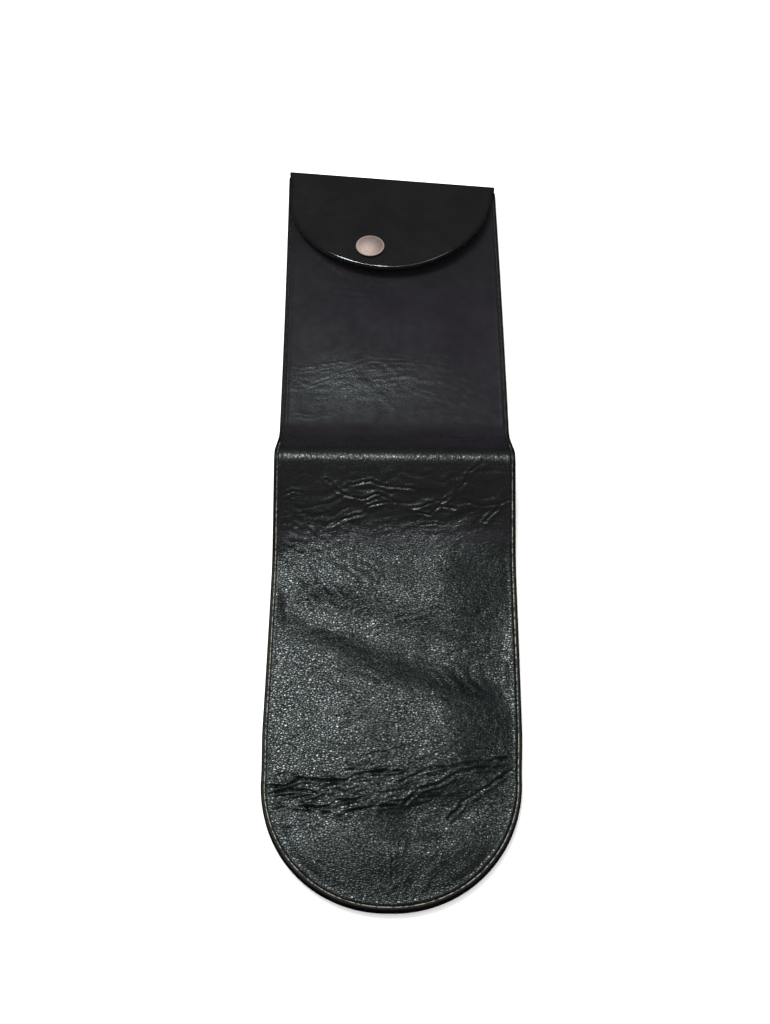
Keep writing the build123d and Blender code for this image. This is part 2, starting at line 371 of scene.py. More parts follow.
# Broad rises and hollows as (height, centre, size, turn)
SWELLS = [
    (-2.8, (14, 33), (18, 9), 15),
    (-2.8, (-1, 102), (50, 12), -22),
    (-1.2, (-24, 111), (17, 9), -24),
    (-0.8, (26, 98), (20, 20), 0),
    (0.9, (-24, 122), (26, 22), 10),
    (0.7, (25, 128), (22, 18), 0),
    (0.8, (-24, 72), (22, 15), 0),
    (0.7, (27, 72), (18, 13), 0),
    (0.8, (-18, 20), (24, 11), 0),
    (0.6, (24, 18), (16, 10), 0),
    (-0.5, (-2, 150), (40, 7), 4),
]

# The creases are made with these shares of their depths and widths
CREASE_DEPTH = 0.72
CREASE_WIDTH = 0.42


def creases(x, y):
    """Height of the listed creases: a sharp valley between two soft shoulders."""
    wander_x = x + 0.9 * layered(x / 5, y / 5, 31)
    wander_y = y + 0.9 * layered(x / 5, y / 5, 47)
    height = np.zeros(x.shape)
    for depth, width, points in CREASES:
        d = along_line(wander_x, wander_y, points)
        width = width * CREASE_WIDTH
        size = depth * CREASE_DEPTH * (0.7 + 0.5 * noise(x / 3, y / 3, 5))
        height += size * (0.85 * bell((d - 2.6 * width) / (1.9 * width)) - bell(d / width))
    return height


def wrinkles(x, y):
    """Height of the patches of fine wrinkles."""
    height = np.zeros(x.shape)
    for k, (depth, length, spacing, turn, centre, size) in enumerate(WRINKLES):
        a = math.radians(turn)
        u = (x * math.cos(a) + y * math.sin(a)) / length
        v = (-x * math.sin(a) + y * math.cos(a)) / spacing
        u = u + 0.5 * noise(x / 9, y / 9, 60 + k)
        v = v + 0.9 * noise(x / 9, y / 9, 80 + k)
        folds = 0.5 - bell(layered(u, v, 100 + 7 * k, 2) / 0.30)
        height += depth * folds * patch(x, y, centre, size, turn)
    return height


def swells(x, y):
    """Height of the broad rises and hollows."""
    height = np.zeros(x.shape)
    for size, centre, reach, turn in SWELLS:
        height += size * patch(x, y, centre, reach, turn)
    return height + 0.25 * layered(x / 17, y / 17, 9)


def inward(x, s):
    """Distance in from the case's outline."""
    below = np.minimum(s - HALF_WIDTH, 0)
    return HALF_WIDTH - np.hypot(x, below)


def past_seam(x, s):
    """0 at the seam beside the rim, 1 a little further in."""
    return smooth((inward(x, s) - SEAM_IN) / 4)


def clear_of_flap(y):
    """1 where the front is in view, 0 under the flap's tip."""
    return 1 - smooth((y - FLAP_COVERS_FROM) / 10)


def crown(x, s):
    """How far the empty front stands up."""
    y = from_end(s)
    side = smooth((inward(x, s) - 2.0) / CROWN_RISE)
    lower = LOWER_CROWN * (1 - smooth((y - 124) / 32))
    upper = UPPER_CROWN * smooth((y - 200) / 40) * (1 - smooth((y - 250) / 34))
    return side * (lower + upper)


def puff(x, s):
    """How far the front sheet and its lining stand up together."""
    y = from_end(s)
    on_lower = 1 - smooth((y - 150) / 20)
    strength = past_seam(x, s) * (0.2 + 0.8 * on_lower) * clear_of_flap(y)
    return crown(x, s) + swells(x, y) * strength


def front_relief(x, s):
    """The seam beside the rim, and the creases and wrinkles."""
    y = from_end(s)
    edge = inward(x, s)
    lip = 0.12 * bell((edge - SEAM_IN) / 0.5)
    groove = 0.25 * bell((edge - RIM_WIDTH + SHEET_OVERLAP) / 0.3)
    calmer = 1 - 0.45 * smooth((y - 190) / 10)
    fine = (creases(x, y) + wrinkles(x, y)) * (0.25 + 0.75 * past_seam(x, s)) * calmer
    return lip - groove + fine * clear_of_flap(y)


# ---------------------------------------------------------------- meshes


def grid_faces(rows, cols, first=0, flip=False):
    """Faces between the vertices of a grid."""
    k = np.arange(rows * cols).reshape(rows, cols) + first
    quads = np.stack([k[:-1, :-1], k[:-1, 1:], k[1:, 1:], k[1:, :-1]], -1).reshape(-1, 4)
    return quads[:, ::-1] if flip else quads


def ring_faces(above, below):
    """Wall between two closed loops of vertices."""
    a, b = np.roll(above, -1), np.roll(below, -1)
    return np.stack([above, below, b, a], -1)


def border(rows, cols, first=0):
    """Vertices round a grid's edge, in the order of the grid's faces."""
    k = np.arange(rows * cols).reshape(rows, cols) + first
    return np.concatenate([k[0, :-1], k[:-1, -1], k[-1, :0:-1], k[:0:-1, 0]])


def mesh_object(name, points, quads, layout=None, values=None):
    """Smooth mesh object with its flat layout in cloth_mm and any other vertex values."""
    mesh = bpy.data.meshes.new(name)
    mesh.from_pydata(points.tolist(), [], quads.tolist())
    if layout is not None:
        made = mesh.attributes.new("cloth_mm", "FLOAT_VECTOR", "POINT")
        made.data.foreach_set("vector", layout.astype(np.float32).ravel())
    for key, value in (values or {}).items():
        made = mesh.attributes.new(key, "FLOAT", "POINT")
        made.data.foreach_set("value", value.astype(np.float32).ravel())
    mesh.validate()
    mesh.shade_smooth()
    mesh.set_sharp_from_angle(angle=math.radians(55))
    obj = bpy.data.objects.new(name, mesh)
    bpy.context.scene.collection.objects.link(obj)
    return obj


def slab(name, x, s, top, bottom, values=None):
    """Closed sheet between two grids of points."""
    rows, cols = x.shape
    points = np.concatenate([top.reshape(-1, 3), bottom.reshape(-1, 3)])
    n = rows * cols
    quads = np.concatenate([
        grid_faces(rows, cols),
        grid_faces(rows, cols, n, flip=True),
        ring_faces(border(rows, cols), border(rows, cols, n)),
    ])
    flat = np.stack([x, s, np.zeros_like(x)], -1).reshape(-1, 3)
    doubled = {k: np.concatenate([v.ravel()] * 2) for k, v in (values or {}).items()}
    return mesh_object(name, points, quads, np.concatenate([flat, flat]), doubled)


def spaced(length, grid, high_edge=True):
    """Places from 0 to a length, closer together at 0 and, if asked, at the far end."""
    edge = np.array(EDGE_GRID)
    high = length - (edge if high_edge else np.array([0.0]))[::-1]
    n = max(2, int(round((high[0] - edge[-1]) / grid)) + 1)
    return np.concatenate([edge[:-1], np.linspace(edge[-1], high[0], n), high[1:]])


def across(half, grid):
    """Places across a sheet, from -1 to 1."""
    return spaced(2 * half, grid) / half - 1


def round_rows(half, u, v, centre_s):
    """Rows of a half disc, from its round edge at v = 1 to its straight side at v = 0."""
    uu, vv = np.meshgrid(u, v)
    x = half * uu * np.sqrt(1 - vv * vv / 2)
    return x, centre_s - half * vv * np.sqrt(1 - uu * uu / 2)


def creased_rows(start, end, grid):
    """Rows along the case, closer together where creases run across it."""
    rows = [start]
    while rows[-1] < end:
        s = rows[-1]
        creased = max(bell((s - at) / CREASED_REACH) ** 0.5 for at in CREASED_AT)
        spacing = CALM_SPACING + (CREASED_SPACING - CALM_SPACING) * creased
        at_edge = 0.25 + 0.75 * smooth(s / 2.5)
        rows.append(s + grid * spacing * at_edge)
    rows = np.array(rows)
    return start + (rows - start) * (end - start) / (rows[-1] - start)


def lower_layout(half, grid):
    """Round end and straight sides up to the first cut."""
    u = across(half, grid)
    v = 1 - creased_rows(0.0, half, grid) / half
    x, s = round_rows(half, u, v[:-1], HALF_WIDTH)
    xs, ss = np.meshgrid(half * u, creased_rows(HALF_WIDTH, CUTS[0], grid))
    return np.concatenate([x, xs]), np.concatenate([s, ss])


def ridge_layout(half, grid):
    """Over the ridge, from the first cut to the second."""
    rows = np.linspace(CUTS[0], CUTS[1], int((CUTS[1] - CUTS[0]) / min(grid, RIDGE_GRID)))
    return np.meshgrid(half * across(half, grid), rows)


def upper_layout(half, grid, short=0.0):
    """From the second cut to the skewed line of the flap's hinge, or short of it."""
    x = half * across(half, grid)
    n = int((HINGE_S - CUTS[1]) / grid)
    x, share = np.meshgrid(x, np.linspace(0, 1, n))
    end = HINGE_S - x * math.tan(SKEW) - short
    return x, CUTS[1] + share * (end - CUTS[1])


LAYOUTS = {"lower": lower_layout, "ridge": ridge_layout, "upper": upper_layout}


def bend(obj, part):
    """Bakes a piece of the lower, ridge or upper length into place; every length is done the same
    way.
    """
    if part == "lower":
        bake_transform(obj)
    elif part == "upper":
        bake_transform(obj)
    else:
        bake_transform(obj)


CAD_LENGTHS = {"lower": ["lower"], "ridge": ["lower_slope", "upper_slope"], "upper": ["upper"]}


def declare_sheet(part):
    """Works out the width and length this length of a sheet was cut to, less the end's corners,
    and does not use them.
    """
    starts = {"lower": 0.0, "ridge": CUTS[0], "upper": CUTS[1]}
    ends = {"lower": CUTS[0], "ridge": CUTS[1], "upper": HINGE_S}
    width, length = 2 * SHEET_HALF, ends[part] - starts[part]
    if part == "lower":
        length -= HALF_WIDTH - SHEET_HALF


def finish_piece(obj, material):
    """Gives a piece its look."""
    obj.data.materials.append(material)


def grain_value(x, s):
    """How strong the grain is: full on the lower half, weaker on the slope, faint above."""
    y = from_end(s)
    lower = 1 - smooth((y - 176) / 12)
    slope = 1 - 0.48 * bell((y - 163) / 15)
    pebbled = slope * (0.85 + 0.15 * layered(x / 12, y / 12, 77))
    wear_and_highlight = 0.14 * patch(x, y, (-18, 221), (34, 13)) + 0.1
    return lower * pebbled + (1 - lower) * wear_and_highlight


def reflection_tint_value(x, s):
    """Painted reflection tint on the one cloth: 0 gives plain black, 0.5 gives plum-black where
    the upper half mirrors dark surroundings, and 1 gives green-grey for the greenish sheen on the
    lower half and on a patch above.
    """
    y = from_end(s)
    lower = 1 - smooth((y - 140) / 12)
    upper = 0.5 * smooth((y - 172) / 8) * (1 - 0.5 * smooth((y - 255) / 40))
    # The oval patch on the upper half paints the green-grey of a sheen there
    return lower + upper + 0.3 * patch(x, y, (-18, 217), (34, 14))


def front_sheets(material):
    """The front's leathercloth, which stops short of the flap's hinge."""
    for part, layout in LAYOUTS.items():
        shorter = {"short": FRONT_SHORT} if part == "upper" else {}
        x, s = layout(SHEET_HALF, GRID, **shorter)
        rise = puff(x, s)
        top = SLEEVE_THICK + rise + front_relief(x, s)
        bottom = np.minimum(SLEEVE_THICK - PANEL_THICK + rise, top - 0.3)
        # The tint value carries the painted reflection tint into the base colour
        values = {"grain": grain_value(x, s), "tint": reflection_tint_value(x, s)}
        obj = slab(f"front_sheet_{part}", x, s, place(x, s, top), place(x, s, bottom), values)
        bend(obj, part)
        declare_sheet(part)
        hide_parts(*[f"{n}_front_panel" for n in CAD_LENGTHS[part]])
        finish_piece(obj, material)


def ripple(x, s):
    """Slight unevenness of the case's back, never below the table."""
    height = 0.06 * layered(x / 7, s / 7, 21)
    return height - height.min()


def plain_sheets(name, node, levels, grid, material, crowned=False):
    """A sheet between two levels of the sleeve, with no relief of its own."""
    low, high = levels
    for part, layout in LAYOUTS.items():
        x, s = layout(SHEET_HALF, grid)
        rise = puff(x, s) if crowned else 0 * x
        top = place(x, s, high + rise)
        bottom = place(x, s, low + rise + (ripple(x, s) if low == 0 else 0))
        values = {"grain": 0.5 + 0 * x, "tint": 0.2 + 0 * x}
        obj = slab(f"{name}_{part}", x, s, top, bottom, values)
        bend(obj, part)
        declare_sheet(part)
        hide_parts(*[f"{n}_{node}" for n in CAD_LENGTHS[part]])
        finish_piece(obj, material)


# ---------------------------------------------------------------- rims


def swept(name, centre, inward_dir, profile, placer, wear_and_highlight=None):
    """Closed band: a profile of (distance in, depth) carried along an outline of (x, s)."""
    n, m = len(centre), len(profile)
    u, depth = np.array(profile).T
    x = centre[:, None, 0] + inward_dir[:, None, 0] * u[None]
    s = centre[:, None, 1] + inward_dir[:, None, 1] * u[None]
    points = placer(x, s, np.broadcast_to(depth, x.shape)).reshape(-1, 3)
    k = np.arange(n * m).reshape(n, m)
    nxt = np.roll(k, -1, axis=1)
    sides = np.stack([k[:-1], nxt[:-1], nxt[1:], k[1:]], -1).reshape(-1, 4)
    flat = np.stack([x, s, np.broadcast_to(depth, x.shape)], -1).reshape(-1, 3)
    # Strength of the painted highlight line at each point of the profile
    values = {"wear_and_highlight": np.tile(wear_and_highlight if wear_and_highlight is not None else np.zeros(m), n)}
    obj = mesh_object(name, points, sides, flat, values)
    cap_ends(obj, k[0][::-1].tolist(), k[-1].tolist())
    return obj


def cap_ends(obj, *loops):
    """Closes a band's two ends and makes every face look outwards."""
    bm = bmesh.new()
    bm.from_mesh(obj.data)
    bm.verts.ensure_lookup_table()
    for loop in loops:
        bm.faces.new([bm.verts[i] for i in loop])
    bmesh.ops.recalc_face_normals(bm, faces=bm.faces)
    bm.to_mesh(obj.data)
    bm.free()
    obj.data.shade_smooth()
    obj.data.set_sharp_from_angle(angle=math.radians(60))


def rim_profile():
    """Welded edge: two pressed layers with a seam between them, and a rounded top."""
    top, seam = SLEEVE_THICK - 0.15, PANEL_THICK + 0.55
    return [
        (RIM_WIDTH, 0.25),
        (0.7, 0.02),
        (0.3, 0.10),
        (0.07, 0.35),
        (0.0, 0.8),
        (0.03, seam - 0.2),
        (0.16, seam),
        (0.03, seam + 0.2),
        (0.0, top - 1.1),
        (0.05, top - 0.6),
        (0.2, top - 0.22),
        (0.5, top - 0.03),
        (0.8, top),
        (SHOULDER, top - 0.06),
        (SHOULDER + 0.1, top - 0.09),
        (RIM_WIDTH - 0.12, top - 0.25),
        (RIM_WIDTH, top - 1.0),
    ]


def rim_highlight(strength):
    """Painted highlight on the rim's inner shoulder: a thin pale line where light catches the
    weld's edge.
    """
    on_shoulder = [u > SHOULDER and depth > SLEEVE_THICK / 2 for u, depth in rim_profile()]
    return strength * np.array(on_shoulder, float)


def straight_line(x, start, end, side, step=0.6):
    """A side of the outline, and the direction in from it."""
    s = np.linspace(start, end, max(3, int(abs(end - start) / step)))
    line = np.stack([np.full(s.shape, float(x)), s], -1)
    return line, np.broadcast_to([-float(side), 0.0], line.shape)


def lower_outline():
    """Down the left side, round the end and up the right side."""
    left, left_in = straight_line(-HALF_WIDTH, CUTS[0], HALF_WIDTH, -1)
    a = np.linspace(math.pi, 2 * math.pi, 240)[1:-1]
    out = np.stack([np.cos(a), np.sin(a)], -1)
    arc = out * HALF_WIDTH + [0, HALF_WIDTH]
    right, right_in = straight_line(HALF_WIDTH, HALF_WIDTH, CUTS[0], 1)
    return np.concatenate([left, arc, right]), np.concatenate([left_in, -out, right_in])


# How strong the painted highlight line along the rim's shoulder is on each length
RIM_HIGHLIGHT = {"lower": 1.0, "ridge": 0.5, "upper": 0.1}


def rim(name, outline, part, nodes, material):
    """One length of the welded rim."""
    line, to_inside = outline
    obj = swept(name, line, to_inside, rim_profile(), place, rim_highlight(RIM_HIGHLIGHT[part]))
    bend(obj, part)
    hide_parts(*nodes)
    finish_piece(obj, material)


def rims(material):
    """The rim round the lower half, and its lengths beside the ridge and the upper half."""
    nodes = ("lower_left_rim", "lower_right_rim", "lower_end_rim")
    rim("rim_lower", lower_outline(), "lower", nodes, material)
    for side, name in ((-1, "left"), (1, "right")):
        x = side * HALF_WIDTH
        hinge_s = HINGE_S - x * math.tan(SKEW)
        for part, start, stop in (("ridge", *CUTS), ("upper", CUTS[1], hinge_s)):
            outline = straight_line(x, start, stop, side, RIM_STEP)
            nodes = [f"{n}_{name}_rim" for n in CAD_LENGTHS[part]]
            rim(f"rim_{part}_{name}", outline, part, nodes, material)


# ---------------------------------------------------------------- flap


def droop(x, t):
    """How the soft flap leaves its plane: down on the left, up on the right."""
    grown = smooth(t / 30)
    left = -1.8 * smooth((-x - 12) / 30)
    right = 1.5 * smooth((x - 12) / 32)
    tip = -0.5 * smooth((t - 40) / 14) * (1 - smooth((x - 5) / 25))
    return grown * (left + right) + tip


def flap_layout(inset, grid):
    """Rows from the tip of the flap, up its sides and round the fold to the back."""
    half = FLAP_END_R - inset
    u = across(half, grid)
    v = 1 - spaced(half, grid, high_edge=False) / half
    x, t = round_rows(half, u, v, 0.0)
    t = FLAP_SIDE - t
    side_t = np.arange(FLAP_SIDE - grid, 0, -grid)
    loop_t = -np.linspace(0, LOOP, 26)
    rows = np.concatenate([side_t, loop_t])
    widths = [HALF_WIDTH - 0.2, FLAP_ROOT_HALF - inset, half]
    width = np.interp(rows, [0, 2.0, FLAP_SIDE], widths)
    xs = width[:, None] * u[None]
    return np.concatenate([x, xs]), np.concatenate([t, np.broadcast_to(rows[:, None], xs.shape)])


def flap_bend(obj):
    """Bakes a flap piece into place."""
    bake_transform(obj)


def flap_sheet(name, levels, grid, nodes, unevenness=0.0):
    """One layer of the flap, with the fold at its root."""
    low, high = levels
    x, t = flap_layout(FLAP_INSET, grid)
    lift = droop(x, t)
    lift_top = lift + unevenness * layered(x / 15, t / 15, 3) * smooth(t / 10)
    top, bottom = place_flap(x, t, high + lift_top), place_flap(x, t, low + lift)
    obj = slab(name, x, -t, top, bottom, {"grain": 0.05 + 0 * x, "tint": 0 * x})
    flap_bend(obj)
    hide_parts(*nodes)
    return obj


def flap_sheets(material, lining_material):
    """The flap's leathercloth, and the lining below it."""
    middle = FOLD_R - PANEL_THICK
    nodes = ("flap_panel", "flap_fold_panel")
    obj = flap_sheet("flap_sheet", (middle, FOLD_R), GRID, nodes, 0.10)
    finish_piece(obj, material)
    nodes = ("flap_lining", "flap_fold_lining")
    levels = (middle - LINING_THICK, middle)
    obj = flap_sheet("flap_lining_sheet", levels, FLAP_LINING_GRID, nodes)
    finish_piece(obj, lining_material)


def bead_outline():
    """Down the flap's left side, round its end and up its right side, as (x, t)."""
    a = np.linspace(math.pi, 2 * math.pi, 220)
    out = np.stack([np.cos(a), np.sin(a)], -1)
    arc = out * FLAP_END_R
    sides = np.linspace(0, 1, 12)[:-1, None]
    root = np.array([FLAP_ROOT_HALF, FLAP_SIDE - BEAD_START])
    left = sides * arc[0] + (1 - sides) * (root * [-1, 1])
    right = (sides * arc[-1] + (1 - sides) * root)[::-1]
    line = np.concatenate([left, arc, right])
    line[:, 1] = FLAP_SIDE - line[:, 1]
    ones = np.ones((len(left), 1))
    to_inside = np.concatenate([ones * [1.0, 0.0], -out, ones * [-1.0, 0.0]])
    return line, to_inside * [1, -1]


def bead_profile(points=18, squareness=2.1):
    """Almost oval section of the flap's rim, as (distance in, level)."""
    low, high = FOLD_R - PANEL_THICK - LINING_THICK - 0.05, FOLD_R + 0.25
    middle, half = (low + high) / 2, (high - low) / 2
    profile = []
    for k in range(points):
        b = 2 * math.pi * k / points
        c, d = math.cos(b), math.sin(b)
        soft = (abs(c) ** squareness + abs(d) ** squareness) ** (-1 / squareness)
        profile.append((FLAP_BEAD / 2 * (1 - c * soft), middle + half * d * soft))
    return profile


def place_drooped(x, t, level):
    """Points of the flap's rim, which droops with its sheet."""
    return place_flap(x, t, level + droop(x, t))


def flap_bead(material):
    """Rounded glossy rim of the flap."""
    line, to_inside = bead_outline()
    obj = swept("flap_edge_bead", line, to_inside, bead_profile(), place_drooped)
    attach(obj, "flap")
    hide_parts("flap_rim")
    finish_piece(obj, material)


def turned(name, profile, segments=96):
    """Solid turned about its own z axis from (radius, height) points, then set at the snap."""
    a = np.linspace(0, 2 * math.pi, segments, endpoint=False)
    r, z = np.array(profile).T
    m = len(profile)
    x = r[None] * np.cos(a)[:, None] + SNAP[0]
    t = SNAP[1] - r[None] * np.sin(a)[:, None]
    points = place_flap(x, t, np.broadcast_to(FOLD_R + z, x.shape)).reshape(-1, 3)
    k = np.arange(segments * m).reshape(segments, m)
    nxt = np.roll(k, -1, axis=0)
    quads = np.stack([k[:, :-1], nxt[:, :-1], nxt[:, 1:], k[:, 1:]], -1).reshape(-1, 4)
    flat = np.stack([x, t, np.broadcast_to(z, x.shape)], -1).reshape(-1, 3)
    obj = mesh_object(name, points, quads, flat)
    cap_ends(obj, k[:, 0].tolist(), k[:, -1].tolist())
    return obj


def snap_cap(material):
    """Domed cap with a rolled rim, on its post."""
    profile = [(1.9, -2.75), (1.9, -2.5), (1.4, -2.5), (1.4, -0.05), (5.4, -0.05), (5.9, -0.02)]
    for k in range(9):
        a = math.radians(-70 + 160 * k / 8)
        r = CAP_RADIUS - CAP_ROLL * (1 - math.cos(a))
        profile.append((r, 0.42 + 0.42 * math.sin(a)))
    profile += [(DOME_RADIUS + 0.22, DOME_FOOT - 0.06), (DOME_RADIUS, DOME_FOOT)]
    for k in range(1, 15):
        share = 1 - k / 15
        profile.append((DOME_RADIUS * share, DOME_FOOT + DOME_RISE * (1 - share**2)))
    profile.append((0.02, DOME_FOOT + DOME_RISE))
    obj = turned("snap_cap_dome", profile)
    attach(obj, "flap")
    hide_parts("snap_cap")
    finish_piece(obj, material)


# ---------------------------------------------------------------- materials


class Nodes:
    """Small help for building node trees."""

    def __init__(self, name, roughness, **sockets):
        self.material = bpy.data.materials.new(name)
        self.material.use_nodes = True
        self.tree = self.material.node_tree
        self.shader = self.tree.nodes["Principled BSDF"]
        self.shader.inputs["Roughness"].default_value = roughness
        for key, value in sockets.items():
            self.shader.inputs[key.replace("_", " ")].default_value = value

    def add(self, kind, inputs=None, **settings):
        node = self.tree.nodes.new(f"ShaderNode{kind}")
        for key, value in settings.items():
            setattr(node, key, value)
        for key, value in (inputs or {}).items():
            if isinstance(value, bpy.types.NodeSocket):
                self.tree.links.new(value, node.inputs[key])
            else:
                node.inputs[key].default_value = value
        return node

    def layout(self, scale=(1, 1, 1), turn=0.0):
        where = self.add("Attribute", attribute_name="cloth_mm", attribute_type="GEOMETRY")
        inputs = {"Vector": where.outputs["Vector"], "Scale": scale, "Rotation": (0, 0, turn)}
        return self.add("Mapping", inputs).outputs["Vector"]

    def value(self, name):
        found = self.add("Attribute", attribute_name=name, attribute_type="GEOMETRY")
        return found.outputs["Fac"]

    def noise(self, vector, scale, detail=2.0, roughness=0.5):
        inputs = {"Vector": vector, "Scale": scale, "Detail": detail, "Roughness": roughness}
        return self.add("TexNoise", inputs).outputs["Fac"]

    def math(self, operation, a, b):
        return self.add("Math", {0: a, 1: b}, operation=operation).outputs[0]

    def ramp(self, factor, low, high, to_low=0.0, to_high=1.0):
        inputs = {"Value": factor, "From Min": low, "From Max": high}
        inputs |= {"To Min": to_low, "To Max": to_high}
        return self.add("MapRange", inputs).outputs["Result"]

    def mix(self, factor, a, b):
        node = self.add("Mix", data_type="RGBA")
        for socket, value in (("Factor_Float", factor), ("A_Color", a), ("B_Color", b)):
            target = next(i for i in node.inputs if i.identifier == socket)
            if isinstance(value, bpy.types.NodeSocket):
                self.tree.links.new(value, target)
            else:
                target.default_value = value
        return next(o for o in node.outputs if o.identifier == "Result_Color")

    def colour(self, socket):
        self.tree.links.new(socket, self.shader.inputs["Base Color"])

    def roughness(self, socket):
        self.tree.links.new(socket, self.shader.inputs["Roughness"])

    def bump(self, height, distance):
        inputs = {"Height": height, "Distance": distance * MM, "Strength": 1.0}
        normal = self.add("Bump", inputs).outputs["Normal"]
        self.tree.links.new(normal, self.shader.inputs["Normal"])

    def specular(self, socket):
        self.tree.links.new(socket, self.shader.inputs["Specular IOR Level"])


def leathercloth():
    """Pebbled leathercloth: near black on the flap, with painted reflection tints of plum-black
    above and green-grey where puffed.
    """
    m = Nodes("leathercloth", 0.36, Specular_IOR_Level=0.5)
    where = m.layout()
    along = m.layout((1, 1.45, 1), 0.15)
    warp = m.noise(where, 0.5, 1.0)
    bent = m.add("VectorMath", {0: along, 1: warp}, operation="ADD").outputs["Vector"]
    cells = m.add("TexVoronoi", {"Vector": bent, "Scale": 0.85, "Randomness": 1.0},
                  feature="DISTANCE_TO_EDGE").outputs["Distance"]
    pebbles = m.ramp(cells, 0.0, 0.22)
    fine = m.noise(along, 0.9, 2.0, 0.55)
    height = m.math("ADD", m.math("MULTIPLY", pebbles, 0.60), m.math("MULTIPLY", fine, 0.90))
    grain = m.value("grain")
    m.bump(m.math("MULTIPLY", height, grain), 0.12)
    patchy = m.ramp(m.noise(where, 0.11, 2.0), 0.35, 0.65, 0.29, 0.38)
    polish = m.math("MULTIPLY", m.ramp(pebbles, 0.0, 1.0, 0.10, 1.0), m.ramp(fine, patchy, 0.72))
    tint = m.value("tint")
    mottle = m.ramp(m.noise(where, 0.06, 3.0), 0.35, 0.65)
    black = m.mix(mottle, (0.0056, 0.0053, 0.0058, 1), (0.0066, 0.0063, 0.0068, 1))
    plum = m.mix(mottle, (0.0085, 0.0072, 0.0092, 1), (0.0105, 0.0090, 0.0112, 1))
    green = m.mix(mottle, (0.0020, 0.0036, 0.0034, 1), (0.0034, 0.0062, 0.0058, 1))
    # The plum-black and green-grey tones are painted reflection tints, picked by the tint value
    upper = m.mix(m.ramp(tint, 0.0, 0.5), black, plum)
    m.colour(m.mix(m.ramp(tint, 0.5, 1.0), upper, green))
    wear_and_highlight = m.ramp(m.noise(where, 0.25, 3.0), 0.3, 0.7, 0.20, 0.27)
    speckled = m.ramp(polish, 0.0, 1.0, 0.42, 0.24)
    m.roughness(m.ramp(grain, 0.1, 0.7, wear_and_highlight, speckled))
    shine = m.ramp(polish, 0.0, 1.0, 0.05, 1.25)
    m.specular(m.ramp(grain, 0.1, 0.7, 0.21, shine))
    return m.material


def rim_look():
    """Black welded rim, with a painted highlight: a thin pale line along its shoulder."""
    m = Nodes("pressed_rim", 0.5, Specular_IOR_Level=0.12)
    where = m.layout()
    tone = m.ramp(m.noise(where, 0.12, 3.0), 0.35, 0.65)
    black = m.mix(tone, (0.0020, 0.0018, 0.0018, 1), (0.0042, 0.0034, 0.0030, 1))
    broken = m.ramp(m.noise(where, 0.9, 2.0), 0.42, 0.56, 0.15, 1.0)
    # Painted highlight: a broken pale line on the rim's shoulder
    pale = m.math("MULTIPLY", m.value("wear_and_highlight"), broken)
    m.colour(m.mix(pale, black, (0.26, 0.235, 0.19, 1)))
    m.bump(m.noise(where, 1.1, 2.0), 0.05)
    m.roughness(m.ramp(m.noise(where, 0.5, 2.0), 0.3, 0.7, 0.42, 0.6))
    return m.material


def bead_look():
    """Glossy black rim of the flap."""
    m = Nodes("flap_bead", 0.12, Specular_IOR_Level=1.0)
    where = m.layout()
    tone = m.noise(where, 0.2, 2.0)
    m.colour(m.mix(tone, (0.0040, 0.0040, 0.0045, 1), (0.0070, 0.0065, 0.0070, 1)))
    m.bump(m.noise(where, 0.6, 2.0), 0.03)
    return m.material


def lining_look():
    """Dark fine-woven lining."""
    m = Nodes("lining_weave", 0.8, Specular_IOR_Level=0.25)
    inputs = {"Vector": m.layout(), "Scale": 0.55, "Distortion": 0.4, "Detail": 1.0}
    warp = m.add("TexWave", inputs, bands_direction="X").outputs["Fac"]
    weft = m.add("TexWave", inputs, bands_direction="Y").outputs["Fac"]
    threads = m.math("MAXIMUM", warp, weft)
    m.colour(m.mix(threads, (0.012, 0.0115, 0.012, 1), (0.032, 0.030, 0.031, 1)))
    m.bump(threads, 0.12)
    return m.material


def metal(name, dark, light, roughness, scale):
    """Metal that goes softly from a darker to a lighter tone."""
    m = Nodes(name, roughness, Metallic=1.0)
    where = m.add("TexCoord").outputs["Object"]
    tone = m.noise(where, scale, 4.0, 0.6)
    m.colour(m.mix(m.ramp(tone, 0.35, 0.7), dark, light))
    m.roughness(m.ramp(tone, 0.3, 0.7, roughness - 0.07, roughness + 0.08))
    m.bump(m.noise(where, scale * 3, 2.0), 0.01)
    return m.material


def floor_look():
    """Matt off-white table."""
    m = Nodes("pale_floor", 0.9, Specular_IOR_Level=0.1)
    where = m.add("TexCoord").outputs["Object"]
    tone = m.noise(where, 30.0, 2.0)
    m.colour(m.mix(tone, (0.88, 0.88, 0.88, 1), (0.92, 0.92, 0.92, 1)))
    return m.material


# ---------------------------------------------------------------- stage, lights and camera


FLOOR_HALF = 4.0
FLOOR_GAP = 0.0003
WORLD_STRENGTH = 1.35

# Lights as (name, direction, size at one metre, radiance, colour)
LIGHT_DISTANCE = 1.0
LIGHTS = [
    ("key_softbox", (-0.32, 0.31, 0.92), (0.40, 0.24), 27.0, (0.87, 1.0, 0.97)),
    ("glint_lamp", (-0.04, 0.31, 0.92), (0.07, 0.10), 110.0, (1.0, 1.0, 1.0)),
    ("side_fill", (0.22, 0.31, 0.92), (0.34, 0.24), 3.0, (0.92, 1.0, 0.98)),
]

CAMERA_ELEVATION = math.radians(58.765)
CAMERA_ROLL = math.radians(0.47)
CAMERA_DISTANCE = 0.5897
CAMERA_AIM = (-0.0019, -0.0093, 0.0)


def floor(material):
    """Table just below the case, unseen in reflections."""
    signs = np.array([(-1, -1), (1, -1), (1, 1), (-1, 1)], float)
    corners = np.concatenate([signs * FLOOR_HALF, np.full((4, 1), -FLOOR_GAP)], axis=1)
    obj = mesh_object("floor", corners, np.array([[0, 1, 2, 3]]))
    obj.data.materials.append(material)
    obj.visible_glossy = False


